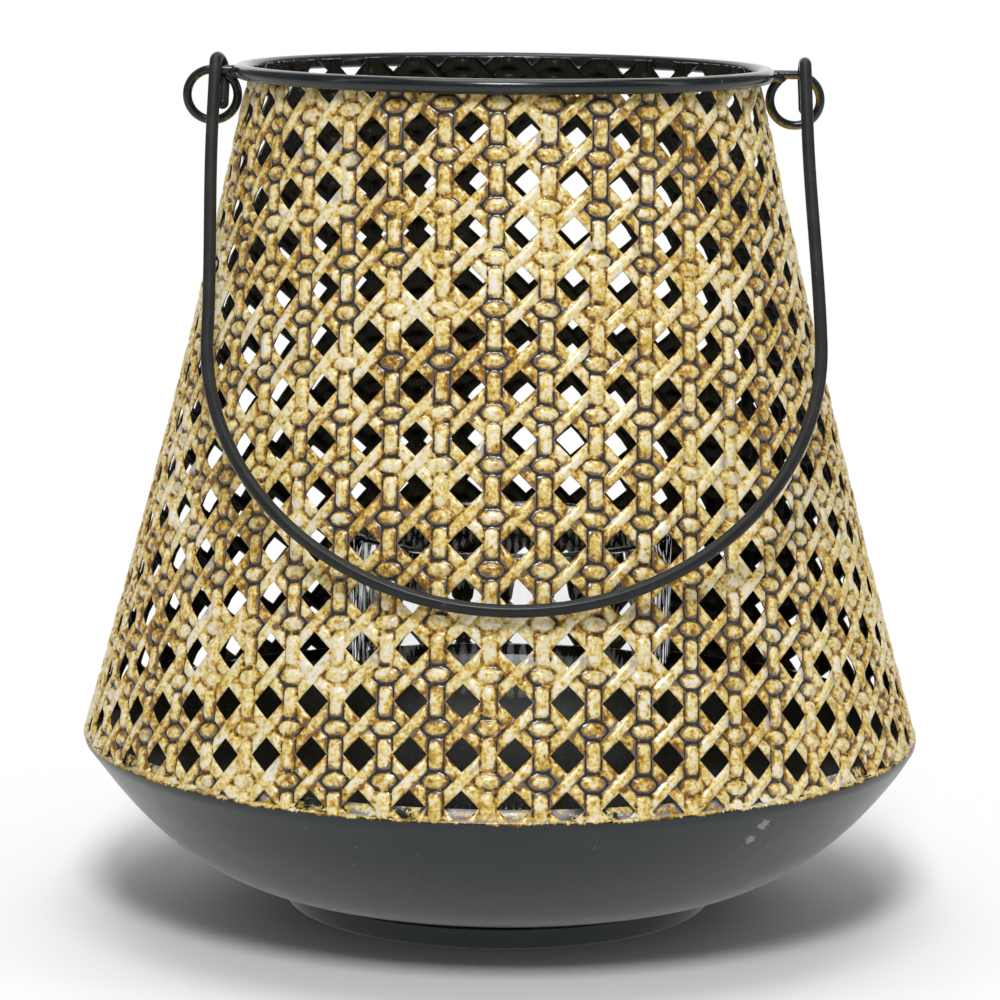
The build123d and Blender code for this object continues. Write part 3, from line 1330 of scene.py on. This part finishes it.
@dataclass
class Bowl:
    """The pressed bowl under the shade and the hoop that it stands on."""

    enamel: Finish
    inside: Finish
    # The foot's enamel is lighter than the bowl's, as painted light against the shadow it stands in.
    foot_enamel: Finish
    floor_radius: float = 52.2 * MM
    floor_ease: float = 1.0 * MM
    wall: float = 1.2 * MM
    side_start: Flat = (61.2 * MM, 7.75 * MM)
    side_handles: tuple[Flat, Flat] = ((18.8 * MM, 3.5 * MM), (8.3 * MM, 12.5 * MM))
    side_steps: int = 32
    inner_bulge: float = 7.1 * MM
    inner_floor: Flat = (3.0 * MM, 0.8 * MM)
    inner_neck: Flat = (1.92 * MM, 1.0 * MM)
    neck: Flat = (0.15 * MM, 1.2 * MM)
    bead: float = 0.85 * MM
    bead_reach: float = 0.1 * MM
    bead_rise: float = 0.4 * MM
    bead_turn: float = 100.0
    bead_steps: int = 8
    step: float = 1.9 * MM
    lip_drop: float = 1.3 * MM
    lip_ease: float = 0.3 * MM
    lip_level: float = 0.2 * MM
    lip_sag: float = 0.85
    shift: float = 0.5 * MM
    shift_depth: float = 6.0 * MM
    sharp: float = 60.0
    foot_wall: float = 1.6 * MM
    foot_taper: float = 0.1 * MM
    foot_shift: float = -0.1 * MM
    foot_flare: float = 1.9 * MM
    foot_round: float = 0.5 * MM
    foot_steps: int = 4
    segments: int = 192

    def bowl_section(self, shade: Shade) -> list[Flat]:
        """Draws the bowl's section.

        Args:
            shade: the shade that the lip tucks into.

        Returns:
            The section, from the middle of the floor round the lip to the floor's upper side.
        """
        low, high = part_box("base_bowl")
        edge, floor, ease = shade.bottom_radius, self.floor_radius, self.lip_ease
        bead_z = shade.bottom + self.bead_rise - self.bead
        neck = (edge - self.neck[0], bead_z - self.neck[1])
        top = high.z - self.lip_drop
        lip = shade.radius(top) - self.step
        start, (lead, trail) = self.side_start, self.side_handles
        leave = (start[0] + lead[0], start[1] + lead[1])
        arrive = (neck[0] - trail[0], neck[1] - trail[1])
        outer = [(0.0, low.z), (floor - self.floor_ease, low.z), (floor + self.floor_ease, low.z)]
        outer += curve(start, leave, arrive, neck, self.side_steps)
        bead = (edge + self.bead_reach - self.bead, bead_z)
        outer += arc(bead, self.bead, 0, self.bead_turn, self.bead_steps)
        outer += [(edge - self.step, shade.bottom + ease), (lip, top - ease)]
        inner = [(lip - 0.5 * self.wall, top), (lip - self.wall, top - ease)]
        inner += [(edge - self.step - self.wall, shade.bottom - self.inner_neck[1])]
        flat, bend = self.inner_floor
        under = (floor - bend, low.z + self.wall)
        under_neck = (neck[0] - self.inner_neck[0], neck[1] - self.inner_neck[1])
        inner += reversed(bulge(under, under_neck, self.inner_bulge, self.side_steps))
        inner += [(floor - flat, low.z + self.wall), (0.0, low.z + self.wall)]
        return outer + inner

    def foot_section(self) -> list[Flat]:
        """Draws the foot hoop's section.

        Returns:
            The section, with its edges eased.
        """
        low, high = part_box("foot_ring")
        ease = self.foot_round
        inner = high.x - self.foot_wall + ease
        foot, top = high.x - self.foot_taper - ease, high.x + self.foot_flare - ease
        lower, upper = low.z + ease, high.z - ease
        corners = ((foot, lower), (top, upper), (inner, upper), (inner, lower))
        section = []
        for quarter, corner in enumerate(corners):
            section += arc(corner, ease, 90 * (quarter - 1), 90 * quarter, self.foot_steps)
        return section

    def build(self, shade: Shade) -> None:
        """Builds the bowl, whose lip sags behind, and its foot.

        Args:
            shade: the shade that the lip tucks into.
        """
        section = self.bowl_section(shade)
        work = lathe(section, self.segments)
        lip = max(range(len(section)), key=lambda i: section[i][1])
        for index, face in enumerate(work.faces):
            face.material_index = int(index // self.segments >= lip)
        level = shade.bottom + self.lip_level
        for vert in work.verts:
            vert.co.x += self.shift * share(vert.co.z, level, level - self.shift_depth)
            if vert.co.z > level:
                behind = share(vert.co.y, 0.0, shade.bottom_radius)
                vert.co.z = level + (vert.co.z - level) * (1.0 - self.lip_sag * behind)
        bowl = to_mesh("base_bowl", work, self.enamel, self.sharp)
        bowl.materials.append(self.inside.material())
        add_piece("enamelled_bowl", bowl, "lantern", "bowl_black", "base_bowl")
        hoop = lathe(self.foot_section(), self.segments, self.foot_shift)
        foot = to_mesh("foot_ring", hoop, self.foot_enamel)
        add_piece("foot_hoop", foot, "lantern", "bowl_black", "foot_ring")


class Side(Enum):
    """The lantern's two ends of the rim, by their direction along X."""

    LEFT = -1
    RIGHT = 1


def both_sides(left: float, right: float) -> dict[Side, float]:
    """Returns a dataclass field that holds a size of its own for each end of the rim."""
    return field(default_factory=lambda: {Side.LEFT: left, Side.RIGHT: right})


@dataclass
class Rim:
    """The rim wire and the two eyelets welded to it."""

    enamel: Finish
    eyelet_enamel: Finish
    sprung: Sprung = Sprung()
    ring_steps: int = 240
    ring_sides: int = 28
    eyelet_wire: float = 2.2 * MM
    eyelet_turn: float = 316.0
    eyelet_steps: int = 60
    eyelet_sides: int = 20
    tail_start: float = 1.2 * MM
    tail_steps: int = 4
    lean_out: dict[Side, float] = both_sides(0.6 * MM, -0.4 * MM)
    mist: dict[Side, float] = both_sides(0.7, 1.0)
    mist_side: Spot = (-0.7, -0.45, -1.0)
    weld_size: Spot = (2.3 * MM, 1.45 * MM, 1.75 * MM)
    weld_shift: Flat = (0.7 * MM, -0.6 * MM)
    weld_swell: float = 0.10
    weld_lumps: float = 1.7
    weld_seed: float = 5.0

    def __post_init__(self) -> None:
        """Reads the rim from the frame."""
        low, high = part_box("rim_ring")
        self.edge = high.x
        self.level = (high.z + low.z) / 2
        self.wire = (high.z - low.z) / 2

    def ring_path(self) -> list[Vector]:
        """Draws the rim wire.

        Returns:
            Its middle line.
        """
        radius = self.edge - self.wire
        around = [(radius * math.sin(a), -radius * math.cos(a)) for a in turns(self.ring_steps)]
        return [self.sprung.moved(Vector((x, y, self.level))) for x, y in around]

    def eyelet_path(self, side: Side) -> list[Vector]:
        """Draws an eyelet: a short tail out from the rim, bent round into a loop.

        Args:
            side: the end of the rim that it is welded to.

        Returns:
            Its middle line.
        """
        low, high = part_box("right_eyelet")
        half = self.eyelet_wire / 2
        radius = (self.level - low.z - half) / 2
        centre = high.x - half - radius + self.lean_out[side]
        start = self.edge - self.tail_start
        steps = self.tail_steps
        tail = [(start + (centre - start) * i / steps, self.level) for i in range(steps)]
        loop = arc((centre, self.level - radius), radius, 90.0, 90.0 - self.eyelet_turn, self.eyelet_steps)
        return [Vector((side.value * x, 0.0, z)) for x, z in tail + loop]

    def add_weld(self, work: Work, side: Side) -> None:
        """Adds the lump of weld that holds an eyelet to the rim.

        Args:
            work: the eyelet's working mesh.
            side: the end of the rim.
        """
        out, rise = self.weld_shift
        middle = Vector((side.value * (self.edge + out), 0.0, self.level + rise))
        own = Vector((side.value * self.weld_seed, 0.0, 0.0))
        lump = bmesh.ops.create_icosphere(work, subdivisions=4, radius=1.0)["verts"]
        for vert in lump:
            swell = 1.0 + self.weld_swell * noise.noise(vert.co * self.weld_lumps + own)
            vert.co = middle + Vector(c * s * swell for c, s in zip(vert.co, self.weld_size))

    def build(self) -> None:
        """Builds the rim wire and the eyelets."""
        work = sweep_wire(self.ring_path(), self.wire, self.ring_sides, closed=True)
        ring = to_mesh("rim_ring", work, self.enamel)
        add_piece("rim_wire", ring, "lantern", "wire_black", "rim_ring")
        for side in Side:
            node = f"{side.name.lower()}_eyelet"
            work = sweep_wire(self.eyelet_path(side), self.eyelet_wire / 2, self.eyelet_sides)
            self.add_weld(work, side)
            mesh = to_mesh(node, work, self.eyelet_enamel)
            x, y, z = self.mist_side
            under = Vector((x * side.value, y, z)).normalized()
            store(mesh, "mist", [self.mist[side] * max(0.0, v.normal.dot(under)) for v in mesh.vertices])
            add_piece(f"{node}_wire", mesh, "lantern", "wire_black", node)


@dataclass
class Bail:
    """The bail: one wire, hooked over both eyelets and bent by hand into a round-bottomed U."""

    enamel: Finish
    wire: float = 3.0 * MM
    sides: int = 24
    tip_steps: int = 6
    hook_steps: int = 20
    leg_steps: int = 16
    bow_steps: int = 96
    eyelet_wire: float = 2.2 * MM
    hook_clearance: float = 0.2 * MM
    hook_length: float = 7.9 * MM
    slew: dict[Side, float] = both_sides(1.7 * MM, -0.05 * MM)
    shift: float = 1.05 * MM
    sway: float = 1.45 * MM
    sway_span: Flat = (0.1, 0.5)
    spread: float = 0.75 * MM

    def __post_init__(self) -> None:
        """Reads the bail's lean and drop from the frame."""
        low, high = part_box("bail_handle")
        self.pivot = Vector(frame["joints"][0]["pos_m"])
        self.hook = self.eyelet_wire / 2 + self.hook_clearance + self.wire / 2
        self.half_width = high.x - self.wire / 2
        bottom = Vector((low.y, low.z)) + Vector((self.wire, self.wire)) / 2 - self.pivot.yz
        self.drop = math.sqrt(bottom.length_squared - self.hook ** 2)
        self.lean = math.atan2(-bottom.x, -bottom.y) - math.atan2(self.hook, self.drop)

    def at(self, across: float, along: float, out: float) -> Vector:
        """Places a point of the bail.

        Args:
            across: its place across the bail.
            along: its distance down the bail from the pivot.
            out: its distance out from the bail's own plane.

        Returns:
            The point in the lantern's frame.
        """
        down = Vector((0.0, -math.sin(self.lean), -math.cos(self.lean)))
        outward = Vector((0.0, -math.cos(self.lean), math.sin(self.lean)))
        return self.pivot + Vector((across, 0.0, 0.0)) + down * along + outward * out

    def hook_path(self, side: Side) -> list[Vector]:
        """Draws one hook.

        Args:
            side: the end of the rim whose eyelet it holds.

        Returns:
            Its middle line, from its tip up over the eyelet.
        """
        x, slew = side.value * self.half_width, self.slew[side]
        tip = [self.hook_length * (1 - i / self.tip_steps) for i in range(self.tip_steps)]
        back = [self.at(x + slew, along, -self.hook) for along in tip]
        over = arc((0.0, 0.0), self.hook, 180.0, 0.0, self.hook_steps)
        twists = [slew * (self.hook - out) / (2 * self.hook) for out, _ in over]
        return back + [self.at(x + twist, -rise, out) for twist, (out, rise) in zip(twists, over)]

    def path(self) -> list[Vector]:
        """Draws the whole bail.

        Returns:
            Its middle line, from the right hook's tip to the left one's.
        """
        leg = self.drop - self.half_width
        falls = [leg * i / self.leg_steps for i in range(1, self.leg_steps + 1)]
        right = [self.at(self.half_width, fall, self.hook) for fall in falls]
        left = [self.at(-self.half_width, fall, self.hook) for fall in reversed(falls)]
        bend = arc((0.0, 0.0), self.half_width, 0.0, -180.0, self.bow_steps)[1:-1]
        bow = [self.at(x, leg - y, self.hook) for x, y in bend]
        line = self.hook_path(Side.RIGHT) + right + bow + left + self.hook_path(Side.LEFT)[::-1]
        for spot in line:
            fall = max(0.0, self.pivot.z - spot.z) / (self.drop * math.cos(self.lean))
            drift = share(fall, *self.sway_span)
            spread = self.spread * spot.x / self.half_width
            spot.x += self.shift + self.sway * drift * drift * (3 - 2 * drift) + spread
        return line

    def build(self) -> None:
        """Builds the bail."""
        mesh = to_mesh("bail_handle", sweep_wire(self.path(), self.wire / 2, self.sides), self.enamel)
        add_piece("bail_wire", mesh, "bail", "wire_black", "bail_handle")


@dataclass
class GlassCup:
    """The glass tumbler that stands loose on the bowl's floor."""

    glass: Finish
    wall: float = 2.4 * MM
    base: float = 4.0 * MM
    hollow: Flat = (0.6 * MM, 0.5 * MM)
    hollow_edge: Flat = (0.6, 0.86)
    rim_round: float = 1.1 * MM
    foot_round: float = 2.2 * MM
    inner_round: float = 4.0 * MM
    floor_middle: float = 0.4
    sharp: float = 60.0
    wall_steps: int = 8
    bend_steps: int = 8
    rim_steps: int = 6
    segments: int = 160

    def build(self) -> None:
        """Builds the tumbler, with a shallow hollow under its base."""
        low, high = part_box("glass_cup")
        radius, tall = (high.x - low.x) / 2, high.z - low.z
        inner, floor = radius - self.wall, low.z + self.base
        foot, rim, bend = self.foot_round, self.rim_round, self.inner_round
        section = [(0.0, low.z + self.hollow[0]), (self.hollow_edge[0] * radius, low.z + self.hollow[1])]
        section += [(self.hollow_edge[1] * radius, low.z)]
        rises = [tall * i / self.wall_steps for i in range(1, self.wall_steps)]
        section += arc((radius - foot, low.z + foot), foot, -90, 0, self.bend_steps)
        section += [(radius, low.z + rise) for rise in rises]
        section += arc((radius - rim, high.z - rim), rim, 0, 90, self.rim_steps)
        section += arc((inner + rim, high.z - rim), rim, 90, 180, self.rim_steps)
        section += [(inner, high.z - rise) for rise in rises]
        section += arc((inner - bend, floor + bend), bend, 0, -90, self.bend_steps)
        section += [(self.floor_middle * inner, floor), (0.0, floor)]
        work = lathe(section, self.segments, (high.x + low.x) / 2)
        cup = to_mesh("glass_cup", work, self.glass, self.sharp)
        add_piece("glass_tumbler", cup, "cup", "clear_glass", "glass_cup")


@dataclass(frozen=True)
class SoftBox:
    """A soft lamp that faces the lantern."""

    name: str
    place: Spot
    size: Flat
    power: float
    target: Spot = (0.0, 0.0, 0.11)

    def hang(self) -> None:
        """Hangs the lamp."""
        data = bpy.data.lights.new(self.name, "AREA")
        data.shape = "RECTANGLE"
        data.size, data.size_y = self.size
        data.energy = self.power
        light = bpy.data.objects.new(self.name, data)
        light.location = self.place
        aim = Vector(self.target) - Vector(self.place)
        light.rotation_euler = aim.to_track_quat("-Z", "Y").to_euler()
        bpy.context.scene.collection.objects.link(light)


@dataclass
class Studio:
    """The pale floor, the soft lights and the camera at the photograph's viewing angle."""

    frame_pixels: int = 1000
    focal_pixels: float = 3906.5
    shift_pixels: float = 1.9
    camera_distance: float = 949.7 * MM
    camera_height: float = 253.9 * MM
    pitch: float = 0.1614
    roll: float = 0.0098
    sensor: float = 36.0
    farthest: float = 100.0
    white: Colour = (1.0, 1.0, 1.0)
    floor_size: float = 40.0
    floor_colour: Colour = (0.90, 0.90, 0.90)
    floor_roughness: float = 0.9
    floor_fade: Flat = (0.10, 0.22)
    ambient: float = 0.16
    mirrored: float = 0.46
    lamps: tuple[SoftBox, ...] = (
        SoftBox("key", (-0.04, -0.95, 1.2), (0.35, 0.35), 12.0),
        SoftBox("left", (-1.25, -0.35, 0.95), (0.07, 1.4), 1.3),
        SoftBox("right", (1.25, -0.3, 0.85), (0.09, 1.4), 2.1),
        SoftBox("top", (0.0, 0.05, 1.3), (0.8, 0.8), 6.9),
        SoftBox("back", (0.0, 1.7, 0.9), (2.0, 2.2), 18.0),
    )

    def add_camera(self) -> None:
        """Places the camera."""
        data = bpy.data.cameras.new("camera")
        data.sensor_width = self.sensor
        data.lens = self.focal_pixels / self.frame_pixels * self.sensor
        data.shift_x = -self.shift_pixels / self.frame_pixels
        data.clip_end = self.farthest
        camera = bpy.data.objects.new("camera", data)
        bpy.context.scene.collection.objects.link(camera)
        aim = Matrix.Rotation(math.pi / 2 - self.pitch, 4, "X") @ Matrix.Rotation(self.roll, 4, "Z")
        camera.matrix_world = Matrix.Translation((0.0, -self.camera_distance, self.camera_height)) @ aim
        bpy.context.scene.camera = camera

    def seen(self, desk: NodeDesk) -> Socket:
        """Returns 1 on rays from the camera, also through glass, and 0 on the rest."""
        rays = desk.add("ShaderNodeLightPath").outputs
        return desk.math("MAXIMUM", rays["Is Camera Ray"], rays["Is Transmission Ray"])

    def paper(self) -> bpy.types.Material:
        """Makes the floor's paper.

        Returns:
            A pale material that keeps the shadow near the lantern and fades to plain white away from it.
        """
        paper = bpy.data.materials.new("floor_paper")
        paper.use_nodes = True
        desk, nodes = NodeDesk(paper.node_tree), paper.node_tree.nodes
        shader = nodes["Principled BSDF"]
        desk.feed(shader, {"Base Color": self.floor_colour, "Roughness": self.floor_roughness})
        away = desk.distance(desk.place(), (0.0, 0.0, 0.0))
        glow = desk.times(desk.step(away, self.floor_fade), self.seen(desk))
        gloss = desk.add("ShaderNodeLightPath").outputs["Is Glossy Ray"]
        glow = desk.math("MAXIMUM", glow, desk.times(gloss, self.mirrored))
        lit = desk.add("ShaderNodeEmission", {"Color": self.white, "Strength": 1.0}).outputs["Emission"]
        blend = desk.add("ShaderNodeMixShader", {0: glow, 1: shader.outputs["BSDF"], 2: lit})
        desk.feed(nodes["Material Output"], {"Surface": blend.outputs["Shader"]})
        return paper

    def add_floor(self) -> None:
        """Lays the floor."""
        half = self.floor_size / 2
        corners = [(-half, -half, 0), (half, -half, 0), (half, half, 0), (-half, half, 0)]
        mesh = bpy.data.meshes.new("floor")
        mesh.from_pydata(corners, [], [(0, 1, 2, 3)])
        mesh.materials.append(self.paper())
        floor = bpy.data.objects.new("floor", mesh)
        bpy.context.scene.collection.objects.link(floor)
        floor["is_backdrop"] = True

    def add_world(self) -> None:
        """Surrounds the lantern with white that lights it less strongly than it shows."""
        world = bpy.data.worlds.new("studio")
        world.use_nodes = True
        desk = NodeDesk(world.node_tree)
        strength = desk.span(self.seen(desk), self.ambient, 1.0)
        desk.feed(world.node_tree.nodes["Background"], {"Color": self.white, "Strength": strength})
        bpy.context.scene.world = world

    def build(self) -> None:
        """Builds the studio."""
        self.add_camera()
        self.add_floor()
        self.add_world()
        for lamp in self.lamps:
            lamp.hang()
        bpy.context.scene.view_settings.view_transform = "Standard"


def write_sizes() -> None:
    """Measures the boxes of the solids and of the dressed lantern side by side, and keeps them nowhere."""
    boxes = {"cad": CAD_BOX, "visual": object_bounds()}
    {name: [list(corner) for corner in box] for name, box in boxes.items()}


def main() -> None:
    """Builds the lantern piece by piece, then the studio round it."""
    logging.basicConfig(level=logging.INFO, format="%(name)s: %(message)s")
    wire_enamel = SatinEnamel("wire_enamel", roughness=0.22)
    inside_enamel = SatinEnamel(
        "inside_enamel", shade=(0.013, 0.0105, 0.005), dust=(0.019, 0.015, 0.008),
        roughness=0.26, shine=0.35,
    )
    # The foot wears a lighter copy of the bowl's enamel to make up for the shadow it stands in: painted
    # light.
    foot_enamel = SatinEnamel("foot_enamel", shade=(0.030, 0.036, 0.036), dust=(0.038, 0.045, 0.045))
    # The bail wears a lighter, less shiny copy of the wire enamel: its grey is painted reflected light.
    bail_enamel = SatinEnamel(
        "bail_enamel", shade=(0.022, 0.023, 0.022), dust=(0.030, 0.031, 0.029),
        roughness=0.26, shine=0.15,
    )
    shade = Shade(SpongedCane(), inside_enamel)
    shade.build()
    Bowl(FringedEnamel(), inside_enamel, foot_enamel).build(shade)
    Rim(wire_enamel, MistedEnamel()).build()
    Bail(bail_enamel).build()
    GlassCup(ClearGlass()).build()
    Studio().build()
    write_sizes()


if __name__ == "__main__":
    main()
